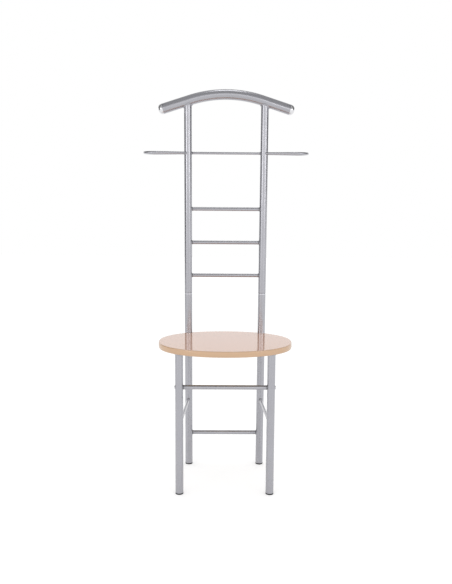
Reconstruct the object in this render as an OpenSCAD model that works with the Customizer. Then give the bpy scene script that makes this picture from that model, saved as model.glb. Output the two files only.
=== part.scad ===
// Clothes valet chair: a bent shoulder hanger on two round uprights, a trouser rail with
// side loops, three rungs, an oval wooden seat on four tube legs, and their stretchers.
// Millimetres. +Z is up, the front of the seat faces -Y, and the feet stand on z = 0.

/* [Tube frame] */
// Outside diameter of the uprights and legs
tube_d = 25; // [22:1:28]
// Wall of the uprights and legs
tube_wall = 1.5; // [1:0.1:2]
// Distance between the axes of the two uprights
upright_spacing = 243; // [220:1:280]
// Height of the joint between the rear legs and the uprights
joint_h = 598; // [550:1:610]
// Length of the sleeve inside that joint
spigot_l = 80; // [50:1:100]
// Wall of the sleeve inside that joint
spigot_wall = 1.5; // [1:0.1:2.5]

/* [Shoulder hanger] */
// Height of the hanger tube's axis at its middle
hanger_h = 1229; // [1150:1:1300]
// Outside diameter of the hanger tube
hanger_d = 32; // [30:1:38]
// Wall of the hanger tube
hanger_wall = 1.5; // [1:0.1:2.5]
// Width of the hanger over its two caps
hanger_w = 430; // [390:1:480]
// Bend radius of the hanger's middle, to the tube's axis
hanger_bend_r = 382; // [320:1:420]
// Slope of the hanger's arms below level, in degrees
hanger_slope = 17.6; // [12:0.1:20]
// How far a domed cap stands out of the tube's end
cap_dome = 14; // [8:0.5:15]
// Length of a cap's plug inside the tube
cap_plug_l = 18; // [10:1:30]

/* [Trouser rail] */
// Height of the rail's axis
rail_h = 1049; // [960:1:1100]
// Diameter of the rail and of its loops
rail_d = 8; // [6:0.5:9]
// Width over the two end loops
rail_w = 528; // [500:1:580]
// Bend radius of a loop's end, to the rod's axis
loop_r = 38; // [30:1:45]
// Distance between a loop's two legs where they enter the upright
loop_root = 16; // [13:0.5:17]

/* [Rungs and stretchers] */
// Height of the lowest rung
rung_bottom_h = 657; // [656:1:700]
// Distance from one rung to the next
rung_pitch = 108; // [80:1:120]
// Diameter of the rungs
rung_d = 12; // [10:0.5:14]
// Wall of the rungs and of the rear bar
rung_wall = 1.2; // [1:0.1:2]
// Diameter of the front bar and the rear bar
bar_d = 14; // [10:0.5:15]
// Height of the front bar
front_bar_h = 340; // [260:1:400]
// Height of the rear bar
rear_bar_h = 113; // [60:1:200]
// Height of the side stretchers
stretcher_h = 233; // [215:1:245]
// Diameter of the side stretchers
stretcher_d = 10; // [8:0.5:11]
// How far inside the front leg's axis a side stretcher lands
stretcher_toe = 5; // [0:0.5:5]
// How far a bar reaches into the tube that holds it
bar_seat = 5; // [4:0.1:6]

/* [Front legs] */
// Distance between the axes of the front feet
front_spacing = 282; // [270:1:300]
// Distance from the rear legs' axes back to the front feet
leg_reach = 240; // [225:1:242]
// Forward rake of the front legs, in degrees
leg_rake = 3; // [2:0.1:6]
// Thickness of a foot under its tube
foot_t = 4; // [3:0.5:8]
// Length of a foot's plug inside the tube
foot_plug_l = 16; // [10:1:30]

/* [Seat] */
// Height of the seat's top face
seat_h = 465; // [430:1:500]
// Thickness of the finished seat
seat_t = 18; // [16:1:25]
// Width of the oval seat
seat_w = 420; // [400:1:480]
// Depth of the oval seat
seat_d = 296; // [290:1:320]
// How far the seat's back edge stands behind the uprights' axes
seat_behind = 18; // [10:1:26]
// Fullness of the oval: 2 is an ellipse, more is squarer
seat_power = 2.15; // [2:0.05:2.6]
// Thickness of the edge band
band_t = 2; // [1:0.1:3]
// Thickness of the top laminate
laminate_t = 0.8; // [0.5:0.1:1.2]
// Width of the flat bearers under the seat
bearer_w = 30; // [25:1:34]
// Thickness of the flat bearers
bearer_t = 4; // [3:0.5:6]

/* [Fasteners] */
// Thread diameter of the front bar's bolts
bolt_d = 6; // [4:0.5:6]
// Head diameter of the front bar's bolts
bolt_head_d = 12; // [10:0.5:13]
// Head height of the front bar's bolts
bolt_head_t = 2.4; // [2:0.1:4]
// Length of bolt inside the front bar
bolt_grip = 14; // [8:1:25]
// Thickness of the saddle washers, at the tube's crown
washer_t = 0.8; // [0.5:0.1:2]
// Shank diameter of the seat screws
screw_d = 4; // [3:0.5:5]
// Head diameter of the seat screws
screw_head_d = 8; // [7:0.5:10]
// Head height of the seat screws
screw_head_t = 2.6; // [2:0.1:3]
// Depth of the seat screws in the board
screw_bite = 12; // [8:0.5:13]

/* [Hidden] */
$fn = 72;

// Clearances
weld_gap = 0.1;         // between a coped or drilled part and what it is joined to
spigot_gap = 0.1;       // radial, sleeve in tube
plug_gap = 0.15;        // radial, plastic and cap plugs in tubes
joint_gap = 0.3;        // between the two tube ends at the joint
notch_gap = 1;          // radial, seat round the uprights
screw_gap = 0.1;        // radial, screws and bolts in their holes
over = 1;               // how far a cut runs past the faces that it opens

// A bend and the straights that leave it are one piece: each straight starts this far inside
// the bend, and is this much slimmer, so that its skin enters through the bend's end
seam_lap = 0.5;
seam_step = 0.03;

// Small finishing sizes
tube_lip = 0.8;         // bevel on the tube ends at the joint
foot_edge = 1.2;        // bevel round a foot's sole
plug_edge = 1;          // bevel on the inner end of a plug
screw_point = 3;        // length of a seat screw's point
screw_flat_d = 4;       // flat on top of a seat screw's head
screw_rim_t = 0.9;      // straight rim of a seat screw's head
loop_bite = 2;          // how much deeper than a bar a loop's legs reach into their upright
rung_count = 3;         // the lower, the middle and the upper rung
outline_points = 120;   // corners of the seat's outline
screw_places = [0.19, 0.5, 0.81]; // along a bearer, as shares of its span

// Places, measured from the rear legs' plane before the part is centred
tube_r = tube_d / 2;
bore_r = tube_r - tube_wall;
upright_x = upright_spacing / 2;
front_x = front_spacing / 2;
bearer_top = seat_h - seat_t;
leg_top = bearer_top - bearer_t;
seat_mid_y = seat_behind - seat_d / 2;
bar_end = tube_r - bar_seat;        // distance of a bar's end from its tube's axis

// Depth of the whole part, and the shift that centres it on y = 0
back_reach = max(loop_r + rail_d / 2, hanger_d / 2, seat_behind);
front_reach = max(seat_d - seat_behind, leg_reach + tube_r);
centre_shift = (front_reach - back_reach) / 2;

function leg_y(z) = -leg_reach + z * tan(leg_rake);

// Hanger: an arc of hanger_bend_r about (0, arc_z), then a straight arm to each side
arc_z = hanger_h - hanger_bend_r;
dome_r = (pow(hanger_d / 2, 2) + pow(cap_dome, 2)) / (2 * cap_dome);
arm_x = hanger_bend_r * sin(hanger_slope);
arm_z = arc_z + hanger_bend_r * cos(hanger_slope);
function hanger_axis_z(x) =
    x < arm_x ? arc_z + sqrt(pow(hanger_bend_r, 2) - pow(x, 2)) : arm_z - (x - arm_x) * tan(hanger_slope);
dome_reach = dome_r - (dome_r - cap_dome) * cos(hanger_slope);
arm_l = (hanger_w / 2 - dome_reach - arm_x) / cos(hanger_slope);

// Trouser rail loops: two straight legs from the upright, tangent to a round end
loop_x = rail_w / 2 - rail_d / 2 - loop_r;
loop_start_x = upright_x + bar_end - loop_bite;
loop_dx = loop_x - loop_start_x;
loop_span = norm([loop_dx, loop_root / 2]);
loop_angle = asin(loop_r / loop_span) - atan2(loop_root / 2, loop_dx);
loop_leg_l = sqrt(pow(loop_span, 2) - pow(loop_r, 2));

// Seat bearers run from the rear leg's axis to the front leg's top
bearer_dx = front_x - upright_x;
bearer_dy = leg_y(leg_top);
bearer_span = norm([bearer_dx, bearer_dy]);

// A superellipse corner at angle t, moved in by inset along its own normal
function signed_pow(v, p) = sign(v) * pow(abs(v), p);
function seat_corner(t, a, b) =
    [a * signed_pow(cos(t), 2 / seat_power), b * signed_pow(sin(t), 2 / seat_power)];
function seat_normal(p, a, b) =
    let (n = [signed_pow(p[0] / a, seat_power - 1) / a, signed_pow(p[1] / b, seat_power - 1) / b])
    n / norm(n);
function seat_point(t, inset) =
    let (p = seat_corner(t, seat_w / 2, seat_d / 2))
    p - inset * seat_normal(p, seat_w / 2, seat_d / 2);

// ---- shared shapes ----

// Places the part's rear leg plane so that the whole part is centred on y = 0
module centred() { translate([0, centre_shift, 0]) children(); }

// A round tube from z0 to z1, with a bevel on the outside of an end where lip is given
module tube(z0, z1, r, wall, lip0 = 0, lip1 = 0) {
    rotate_extrude()
        polygon([
            [r - wall, z0], [r - lip0, z0], [r, z0 + lip0],
            [r, z1 - lip1], [r - lip1, z1], [r - wall, z1]
        ]);
}

// A rod along X from x0 to x1
module rod_x(x0, x1, r) { translate([x0, 0, 0]) rotate([0, 90, 0]) cylinder(h = x1 - x0, r = r); }

// The hanger's round body at radius r, arc and both arms, with the arms ending at length l
module hanger_body(r, l) {
    translate([0, 0, arc_z]) rotate([90, 0, 0])
        rotate([0, 0, 90 - hanger_slope])
            rotate_extrude(angle = 2 * hanger_slope, $fn = 180)
                translate([hanger_bend_r, 0]) circle(r = r);
    for (side = [-1, 1])
        at_arm(side, -seam_lap) cylinder(h = l + seam_lap, r = r - seam_step);
}

// Stands at distance along an arm from the arc's end, with +Z pointing out along the arm
module at_arm(side, along) {
    translate([side * arm_x, 0, arm_z])
        rotate([0, side * (90 + hanger_slope), 0])
            translate([0, 0, along]) children();
}

// Stands on the axis of the side's upright
module at_upright(side) { translate([side * upright_x, 0, 0]) children(); }

// Stands at the side's front foot, with +Z along the raked leg
module at_front_leg(side) {
    translate([side * front_x, -leg_reach, 0]) rotate([-leg_rake, 0, 0]) children();
}

// Both straight legs and the round end of a loop, as one rod of radius r
module loop_rod(side, r) {
    translate([0, 0, rail_h]) mirror([side < 0 ? 1 : 0, 0, 0]) {
        translate([loop_x, 0, 0])
            rotate([0, 0, -90 - loop_angle])
                rotate_extrude(angle = 180 + 2 * loop_angle, $fn = 96)
                    translate([loop_r, 0]) circle(r = r);
        for (leg = [-1, 1])
            translate([loop_start_x, leg * loop_root / 2, 0])
                rotate([0, 0, leg * loop_angle]) rod_x(0, loop_leg_l + seam_lap, r - seam_step);
    }
}

// A side stretcher's line, from the rear leg to the front leg, trimmed at both ends
stretcher_y = leg_y(stretcher_h);
stretcher_dx = front_x - stretcher_toe - upright_x;
stretcher_span = norm([stretcher_dx, stretcher_y]);
module stretcher_rod(side, r, trim0, trim1) {
    translate([side * upright_x, 0, stretcher_h])
        rotate([0, 0, atan2(stretcher_y, side * stretcher_dx)])
            rod_x(trim0, stretcher_span - trim1, r);
}

// A level bar between the two tubes at x = -x_tube and x = x_tube, reaching into both
module cross_bar(x_tube, r) { rod_x(-x_tube + bar_end, x_tube - bar_end, r); }

// The same bar as a tube
module cross_tube(x_tube, r) {
    difference() {
        cross_bar(x_tube, r);
        rod_x(-x_tube, x_tube, r - rung_wall);
    }
}

// The seat's outline, moved in by inset, as a plate from z0 to z1
module seat_plate(z0, z1, inset) {
    translate([0, seat_mid_y, z0])
        linear_extrude(z1 - z0)
            polygon([for (i = [0 : outline_points - 1]) seat_point(360 * i / outline_points, inset)]);
}

// Cylinders that clear the seat round the uprights
module seat_notches() {
    for (side = [-1, 1])
        at_upright(side)
            translate([0, 0, leg_top]) cylinder(h = seat_t + 2 * bearer_t, r = tube_r + notch_gap);
}

// Stands on a bearer's line at a distance from the rear leg's axis, with +X along the bearer
module on_bearer(side, along) {
    translate([side * upright_x, 0, 0])
        rotate([0, 0, atan2(bearer_dy, side * bearer_dx)])
            translate([along, 0, 0]) children();
}

// ---- hanger ----

module hanger_tube() {
    color("silver") centred() difference() {
        hanger_body(hanger_d / 2, arm_l);
        hanger_body(hanger_d / 2 - hanger_wall, arm_l + over);
    }
}

module hanger_cap(side) {
    color("gainsboro") centred() at_arm(side, arm_l) {
        intersection() {
            translate([0, 0, cap_dome - dome_r]) sphere(r = dome_r);
            cylinder(h = cap_dome + over, r = hanger_d / 2);
        }
        translate([0, 0, -cap_plug_l])
            cylinder(h = cap_plug_l + over, r = hanger_d / 2 - hanger_wall - plug_gap);
    }
}
module hanger_cap_left() { hanger_cap(-1); }
module hanger_cap_right() { hanger_cap(1); }

// ---- uprights and rail ----

module upright(side) {
    color("silver") centred() difference() {
        at_upright(side)
            tube(joint_h + joint_gap, hanger_axis_z(upright_x), tube_r, tube_wall, tube_lip, 0);
        hanger_body(hanger_d / 2 + weld_gap, arm_l);
        for (i = [0 : rung_count - 1])
            translate([0, 0, rung_bottom_h + i * rung_pitch]) bar_hole(side, upright_x, rung_d / 2);
        translate([0, 0, rail_h]) bar_hole(side, upright_x, rail_d / 2);
        loop_rod(side, rail_d / 2 + weld_gap);
    }
}
module upright_left() { upright(-1); }
module upright_right() { upright(1); }

// A drilled hole in the inner wall of the tube at side * x_tube
module bar_hole(side, x_tube, r) {
    rod_x(side < 0 ? -x_tube : 0, side < 0 ? 0 : x_tube, r + weld_gap);
}

module spigot(side) {
    color("dimgray") centred() at_upright(side)
        tube(joint_h - spigot_l / 2, joint_h + spigot_l / 2, bore_r - spigot_gap, spigot_wall,
            tube_lip, tube_lip);
}
module spigot_left() { spigot(-1); }
module spigot_right() { spigot(1); }

module trouser_rail() {
    color("silver") centred() translate([0, 0, rail_h]) cross_bar(upright_x, rail_d / 2);
}

module rail_loop_left() { color("silver") centred() loop_rod(-1, rail_d / 2); }
module rail_loop_right() { color("silver") centred() loop_rod(1, rail_d / 2); }

// ---- rungs ----

module rung(place) {
    color("silver") centred()
        translate([0, 0, rung_bottom_h + place * rung_pitch]) cross_tube(upright_x, rung_d / 2);
}
module rung_lower() { rung(0); }
module rung_middle() { rung(1); }
module rung_upper() { rung(2); }

// ---- legs ----

module rear_leg(side) {
    color("silver") centred() difference() {
        at_upright(side) tube(foot_t, joint_h, tube_r, tube_wall, 0, tube_lip);
        translate([0, 0, rear_bar_h]) bar_hole(side, upright_x, bar_d / 2);
        stretcher_rod(side, stretcher_d / 2 + weld_gap, 0, stretcher_span / 2);
    }
}
module rear_leg_left() { rear_leg(-1); }
module rear_leg_right() { rear_leg(1); }

// A raked tube, cut level above its foot and under its bearer
module front_leg(side) {
    color("silver") centred() difference() {
        intersection() {
            at_front_leg(side) tube(-tube_d, leg_top + tube_d, tube_r, tube_wall);
            translate([side * front_x, -leg_reach, foot_t])
                linear_extrude(leg_top - foot_t) square([2 * tube_d, leg_reach], center = true);
        }
        translate([0, leg_y(front_bar_h), front_bar_h]) bar_hole(side, front_x, bar_d / 2);
        at_bar_ends() cylinder(h = tube_d, r = bolt_d / 2 + screw_gap);
        stretcher_rod(side, stretcher_d / 2 + weld_gap, stretcher_span / 2, 0);
    }
}
module front_leg_left() { front_leg(-1); }
module front_leg_right() { front_leg(1); }

// A plug foot: a level disc on the floor, and a plug that follows its leg and stays off the sole
module foot(raked) {
    rotate_extrude()
        polygon([[0, 0], [tube_r - foot_edge, 0], [tube_r, foot_edge], [tube_r, foot_t], [0, foot_t]]);
    intersection() {
        rotate([raked ? -leg_rake : 0, 0, 0])
            rotate_extrude()
                polygon([
                    [0, 0], [bore_r - plug_gap, 0], [bore_r - plug_gap, foot_t + foot_plug_l - plug_edge],
                    [bore_r - plug_gap - plug_edge, foot_t + foot_plug_l], [0, foot_t + foot_plug_l]
                ]);
        translate([0, 0, foot_edge]) cylinder(h = foot_t + 2 * foot_plug_l, r = tube_d);
    }
}
module rear_foot(side) { color("dimgray") centred() at_upright(side) foot(false); }
module front_foot(side) {
    color("dimgray") centred() translate([side * front_x, -leg_reach, 0]) foot(true);
}
module foot_rear_left() { rear_foot(-1); }
module foot_rear_right() { rear_foot(1); }
module foot_front_left() { front_foot(-1); }
module foot_front_right() { front_foot(1); }

// ---- bars between the legs ----

// Stands on the front bar's axis inside each front leg, with +Z pointing out of the leg
module at_bar_ends() {
    for (side = [-1, 1])
        translate([side * front_x, leg_y(front_bar_h), front_bar_h])
            rotate([0, side * 90, 0]) children();
}

module front_bar() {
    color("silver") centred() difference() {
        translate([0, leg_y(front_bar_h), front_bar_h]) cross_bar(front_x, bar_d / 2);
        at_bar_ends()
            translate([0, 0, -bar_end - bolt_grip - over])
                cylinder(h = bar_end + bolt_grip + over, r = bolt_d / 2 + screw_gap);
    }
}

module front_bar_bolts() {
    head_z = tube_r + washer_t;
    head_r = (pow(bolt_head_d / 2, 2) + pow(bolt_head_t, 2)) / (2 * bolt_head_t);
    color("gainsboro") centred() at_bar_ends() {
        translate([0, 0, -bar_end - bolt_grip])
            cylinder(h = bar_end + bolt_grip + head_z + over, r = bolt_d / 2);
        intersection() {
            translate([0, 0, head_z + bolt_head_t - head_r]) sphere(r = head_r);
            translate([0, 0, head_z]) cylinder(h = bolt_head_t + over, r = bolt_head_d / 2);
        }
    }
}

// Saddle washers: flat under the bolt's head, hollow against the leg
module front_bar_washers() {
    color("silver") centred() difference() {
        at_bar_ends() cylinder(h = tube_r + washer_t, r = bolt_head_d / 2);
        at_bar_ends() translate([0, 0, -over]) cylinder(h = tube_d, r = bolt_d / 2 + screw_gap);
        for (side = [-1, 1]) at_front_leg(side) cylinder(h = leg_top, r = tube_r);
    }
}

module rear_bar() {
    color("silver") centred() translate([0, 0, rear_bar_h]) cross_tube(upright_x, bar_d / 2);
}

module side_stretcher_left() {
    color("silver") centred() stretcher_rod(-1, stretcher_d / 2, bar_end, bar_end);
}
module side_stretcher_right() {
    color("silver") centred() stretcher_rod(1, stretcher_d / 2, bar_end, bar_end);
}

// ---- seat ----

module seat_board() {
    color("burlywood") centred() difference() {
        seat_plate(bearer_top, seat_h - laminate_t, band_t);
        seat_notches();
        at_seat_screws()
            cylinder(h = bearer_t + screw_bite + over / 2, r = screw_d / 2 + screw_gap);
    }
}

module seat_laminate() {
    color("mistyrose") centred() difference() {
        seat_plate(seat_h - laminate_t, seat_h, band_t);
        seat_notches();
    }
}

module seat_edge_band() {
    color("tan") centred() difference() {
        seat_plate(bearer_top, seat_h, 0);
        translate([0, 0, -over]) seat_plate(bearer_top, seat_h + 2 * over, band_t);
        seat_notches();
    }
}

module seat_bearer(side) {
    color("silver") centred() difference() {
        translate([0, 0, leg_top]) {
            on_bearer(side, bearer_span) cylinder(h = bearer_t, r = bearer_w / 2);
            on_bearer(side, 0) translate([0, -bearer_w / 2, 0]) cube([bearer_span, bearer_w, bearer_t]);
        }
        at_upright(side)
            translate([0, 0, leg_top - over])
                cylinder(h = bearer_t + 2 * over, r = tube_r + weld_gap);
        at_seat_screws() cylinder(h = bearer_t, r = screw_d / 2 + screw_gap);
    }
}
module seat_bearer_left() { seat_bearer(-1); }
module seat_bearer_right() { seat_bearer(1); }

// Runs the children at each seat screw, standing on the bearers' underside
module at_seat_screws() {
    for (side = [-1, 1])
        for (place = screw_places)
            on_bearer(side, bearer_span * place) translate([0, 0, leg_top]) children();
}

module seat_screws() {
    color("gray") centred() at_seat_screws()
        rotate_extrude()
            polygon([
                [0, -screw_head_t], [screw_flat_d / 2, -screw_head_t],
                [screw_head_d / 2, -screw_rim_t], [screw_head_d / 2, 0], [screw_d / 2, 0],
                [screw_d / 2, bearer_t + screw_bite - screw_point], [0, bearer_t + screw_bite]
            ]);
}

hanger_tube();
hanger_cap_left();
hanger_cap_right();
upright_left();
upright_right();
spigot_left();
spigot_right();
trouser_rail();
rail_loop_left();
rail_loop_right();
rung_lower();
rung_middle();
rung_upper();
rear_leg_left();
rear_leg_right();
front_leg_left();
front_leg_right();
front_bar();
front_bar_bolts();
front_bar_washers();
rear_bar();
side_stretcher_left();
side_stretcher_right();
seat_board();
seat_laminate();
seat_edge_band();
seat_bearer_left();
seat_bearer_right();
seat_screws();
foot_rear_left();
foot_rear_right();
foot_front_left();
foot_front_right();
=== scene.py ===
"""Finished surfaces, stage, lamps and camera for a clothes valet chair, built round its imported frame.

Metres. +Z is up, -Y is the front of the seat, and the feet stand on z = 0. Every surface is a
function of two parameters, worked out as whole numpy arrays: most are a round section carried
along a path, point = centre(s) + radius * (cos a * side(s) + sin a * up(s)).
"""

import math

import bmesh
import bpy
import numpy as np
from bpy.props import FloatProperty, FloatVectorProperty, PointerProperty
from mathutils import Matrix, Vector


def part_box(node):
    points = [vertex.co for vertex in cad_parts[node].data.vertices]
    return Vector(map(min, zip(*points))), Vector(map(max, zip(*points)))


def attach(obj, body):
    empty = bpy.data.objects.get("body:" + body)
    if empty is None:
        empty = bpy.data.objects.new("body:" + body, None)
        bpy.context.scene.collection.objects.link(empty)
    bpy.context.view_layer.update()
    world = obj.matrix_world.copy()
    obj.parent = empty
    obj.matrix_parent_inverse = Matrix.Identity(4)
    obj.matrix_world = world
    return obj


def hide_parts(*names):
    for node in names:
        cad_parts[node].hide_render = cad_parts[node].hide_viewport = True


bl_info = {
    "name": "Clothes valet chair",
    "version": (1, 0, 0),
    "blender": (4, 5, 0),
    "location": "3D View > Sidebar > Valet",
    "description": "Builds the finished surfaces of a clothes valet chair round its packed frame",
    "category": "Object",
}

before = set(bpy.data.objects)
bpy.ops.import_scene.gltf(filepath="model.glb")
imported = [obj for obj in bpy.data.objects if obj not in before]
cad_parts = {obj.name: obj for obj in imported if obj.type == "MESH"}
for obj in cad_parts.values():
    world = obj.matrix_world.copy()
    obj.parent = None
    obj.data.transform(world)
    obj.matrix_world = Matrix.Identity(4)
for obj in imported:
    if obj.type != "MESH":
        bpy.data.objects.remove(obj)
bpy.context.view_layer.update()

X, Y, Z = 0, 1, 2
SIDES = (("left", -1), ("right", 1))
ALONG_X, ALONG_Y, UP = np.eye(3)


def middle(node, axis):
    """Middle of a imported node's box along one axis."""
    low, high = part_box(node)
    return (low[axis] + high[axis]) / 2


def reach(node, axis):
    """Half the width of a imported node's box along one axis."""
    low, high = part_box(node)
    return (high[axis] - low[axis]) / 2


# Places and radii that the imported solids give
UPRIGHT_X, BACK_Y = middle("upright_right", X), middle("upright_right", Y)
TUBE_R = reach("upright_right", X)
JOINT_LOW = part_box("rear_leg_right")[1].z
JOINT_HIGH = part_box("upright_right")[0].z
HANGER_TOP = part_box("hanger_tube")[1].z
HANGER_R = reach("hanger_tube", Y)
HANGER_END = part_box("hanger_cap_right")[1].x
RAIL_Z, ROD_R = middle("trouser_rail", Z), reach("trouser_rail", Z)
LOOP_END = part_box("rail_loop_right")[1].x
RUNG_R = reach("rung_lower", Z)
BAR_R = reach("rear_bar", Z)
FRONT_BAR_Y, FRONT_BAR_Z = middle("front_bar", Y), middle("front_bar", Z)
REAR_BAR_Z = middle("rear_bar", Z)
STRETCHER_Z, STRETCHER_R = middle("side_stretcher_right", Z), reach("side_stretcher_right", Z)
FOOT_X, FOOT_Y = middle("foot_front_right", X), middle("foot_front_right", Y)
FOOT_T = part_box("rear_leg_right")[0].z
PLUG_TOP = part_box("foot_rear_right")[1].z
SEAT_TOP, SEAT_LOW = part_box("seat_laminate")[1].z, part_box("seat_board")[0].z
SEAT_A, SEAT_B = reach("seat_edge_band", X), reach("seat_edge_band", Y)
SEAT_Y = middle("seat_edge_band", Y)
BEARER_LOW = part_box("seat_bearer_right")[0].z
SCREW_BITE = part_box("seat_screws")[1].z - BEARER_LOW

# Fits, edges and fasteners, too small for the boxes to give
SINK = 0.0003  # how far a coped end goes into the skin that it is welded to
CUT_LIP = 0.0004  # rounding of a plain cut end
PLUG_GAP = 0.00015  # between a plug and the tube round it
POOL, FEWEST_POOLS = 0.0019, 8  # pitch of the pools in a small weld bead, and their least number
POOL_SWELL = 0.07  # how much a bead swells at a pool, as a share of its size
CONTACT_SHADE_RUN = 0.0026  # how far the painted contact shade at a rod's end fades along the rod
JOINT_SHADE = 0.3  # how dark the painted shade over the joint gap is, as a share of the painted shade at a welded end
HIGHLIGHT_RIM = 0.003  # height of the painted highlight rim at the top of a rear leg
RIM_FADE = 0.0004  # height over which that rim fades
WASHER_R, WASHER_WALL = 0.006, 0.0029  # radius of a washer and width of its ring
WASHER_T = 0.0008  # its thickness over the leg's crown
BOLT_HEAD_R, BOLT_HEAD_T, BOLT_R = 0.006, 0.0024, 0.003
BOLT_REACH = 0.0215  # length of a bolt under its head, beyond the leg's radius
SCREW_HEAD_R, SCREW_HEAD_T, SCREW_R = 0.004, 0.0026, 0.002
SCREW_FLAT_R, SCREW_RIM_T = 0.0022, 0.0009  # radius of the head's flat top and height of its rim
RECESS = 0.0016  # depth of the recesses in the heads

# Corners of the round sections
HANGER_SIDES, CAP_SIDES, UPRIGHT_SIDES, LEG_SIDES, FOOT_SIDES = 112, 96, 96, 80, 72
BAR_SIDES, ROD_SIDES, LOOP_SIDES, BOLT_SIDES, SCREW_SIDES = 64, 48, 40, 96, 64

# Angles, in degrees, from which an edge between faces is shaded sharp
CREASE, FINE_CREASE = 40, 30


# ---- sizes, finishes and stage


def length(name, description, default):
    """A length in metres."""
    return FloatProperty(
        name=name, description=description, default=default, unit="LENGTH", precision=4)


def angle(name, description, degrees):
    """An angle, written in degrees."""
    return FloatProperty(
        name=name, description=description, default=math.radians(degrees), subtype="ANGLE")


def number(name, description, default, **limits):
    """A plain number."""
    return FloatProperty(name=name, description=description, default=default, **limits)


def colour(name, description, default):
    """A colour, as linear red, green and blue."""
    return FloatVectorProperty(
        name=name, description=description, default=default, subtype="COLOR", min=0, max=1)


class ValetSizes(bpy.types.PropertyGroup):
    """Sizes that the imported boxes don't give."""

    tube_wall: length("Tube wall", "Wall of legs, uprights and hanger", 0.0015)
    rung_wall: length("Rung wall", "Wall of the rungs and the rear bar", 0.0012)
    hanger_bend: length("Hanger bend", "Bend radius of the hanger, to its axis", 0.382)
    hanger_slope: angle("Hanger slope", "Slope of the hanger's arms", 17.6)
    cap_dome: length("Cap dome", "How far a cap stands out of the hanger", 0.014)
    cap_plug: length("Cap plug", "Length of a cap's plug", 0.018)
    loop_bend: length("Loop bend", "Bend radius of a loop's end, to its axis", 0.038)
    loop_root: length("Loop root", "Distance between a loop's legs at the upright", 0.016)
    leg_rake: angle("Leg rake", "Forward rake of the front legs", 3)
    stretcher_toe: length("Stretcher toe", "How far inside the front leg's axis a stretcher lands", 0.005)
    lip: length("Tube lip", "Rounding of a tube's end at the joint", 0.0008)
    bead: length("Small bead", "Size of the weld bead on rungs, bars and rods", 0.0014)
    hanger_bead: length("Hanger bead", "Size of the weld bead under the hanger", 0.0026)
    seat_power: number("Seat fullness", "Power of the seat's oval: 2 is an ellipse", 2.15, min=1.5, max=4)
    band: length("Edge band", "Thickness of the seat's edge band", 0.002)
    laminate: length("Laminate", "Thickness of the seat's top laminate", 0.0008)
    notch_r: length("Notch radius", "Radius of the seat's cut-outs round the uprights", 0.0135)
    bearer_w: length("Bearer width", "Width of the flat bars under the seat", 0.03)


class ValetFinishes(bpy.types.PropertyGroup):
    """Colours of the finishes, and how rough the silver is."""

    steel: colour("Silver finish", "Satin silver of the tube frame", (0.458, 0.458, 0.495))
    steel_rough: number("Silver roughness", "Roughness of the silver finish", 0.28)
    chrome: colour("Chrome", "Plated caps and bolt heads", (0.86, 0.86, 0.88))
    zinc: colour("Zinc", "Plain zinc of sleeves and screws", (0.50, 0.51, 0.53))
    laminate: colour("Laminate", "Glossy beech laminate of the seat's top", (0.66, 0.375, 0.255))
    band: colour("Edge band", "Beech edge band", (0.75, 0.49, 0.30))
    board: colour("Board", "Sanded underside of the seat", (0.60, 0.43, 0.27))
    plastic: colour("Feet", "Black plastic of the feet", (0.014, 0.014, 0.015))


class ValetStage(bpy.types.PropertyGroup):
    """Camera and light."""

    camera: FloatVectorProperty(
        name="Camera", description="Camera's place", subtype="XYZ", unit="LENGTH",
        default=(-0.0198, -2.1468, 0.9523),
    )
    pitch: angle("Pitch", "How far down the camera looks", 10.843)
    pan: angle("Pan", "How far right the camera looks", 0.585)
    roll: angle("Roll", "Turn of the camera about its view", 0.41)
    lens: number("Lens", "Focal length on a 36 mm frame", 42.61)
    shift_y: number("Shift", "Vertical shift of the frame", 0.0421)
    world_level: number("Room light", "Level of the room's even light", 0.88)
    card_level: number("Side cards", "Level that reflections see in the dark cards at both sides", 0.14)
    roof_level: number("Roof cards", "Level that they see in the paler cards over the chair", 0.48)
    key_power: number("Key light", "Power of the lamp far to the front right", 13.7)
    fill_power: number("Fill light", "Power of the lamp far to the front left", 16.0)
    rim_power: number("Rim light", "Power of the lamp over the back", 3.0)
    front_power: number("Front light", "Power of the lamp behind the camera", 5.6)


# ---- paths and sections


def array(values):
    """Numbers as a numpy array of floats."""
    return np.asarray(values, float)


def unit(vectors):
    """Vectors made one unit long."""
    return vectors / np.linalg.norm(vectors, axis=-1, keepdims=True)


def straight(start, end, side):
    """A straight path: centre = start + s * along, with side made square to along and up = along x side."""
    start, side = array(start), array(side)
    along = unit(array(end) - start)
    side = unit(side - np.dot(side, along) * along)
    up = np.cross(along, side)

    def path(s):
        centre = start + array(s)[..., None] * along
        return centre, np.broadcast_to(side, centre.shape), np.broadcast_to(up, centre.shape)

    return path


def bent(bend, limit, origin, across, forward):
    """An arc with straights beyond it, in the plane of across and forward: the arc's angle is s / bend,
    held within +-limit, and what is left of s runs on along the tangent. The arc's centre is at origin,
    and its middle, s = 0, lies at origin + bend * forward."""
    normal = np.cross(across, forward)

    def path(s):
        s = array(s)[..., None]
        turned = np.clip(s / bend, -limit, limit)
        outward = np.sin(turned) * across + np.cos(turned) * forward
        tangent = np.cos(turned) * across - np.sin(turned) * forward
        centre = array(origin) + bend * outward + (s - turned * bend) * tangent
        return centre, outward, np.broadcast_to(normal, centre.shape)

    return path


def around(count):
    """Angles of count corners round a section."""
    return np.linspace(0, 2 * np.pi, count, endpoint=False)


def arc(first, last, count):
    """Points (cos a, sin a) of a unit circle from one angle to another."""
    a = np.linspace(first, last, count)
    return np.stack([np.cos(a), np.sin(a)], -1)


def finer_inside(start, first, last, stop, count, outer=8):
    """Steps from start to stop: count of them between first and last, and outer on each side of these."""
    inside = np.linspace(first, last, count)[1:-1]
    return np.concatenate([np.linspace(start, first, outer), inside, np.linspace(last, stop, outer)])


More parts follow.
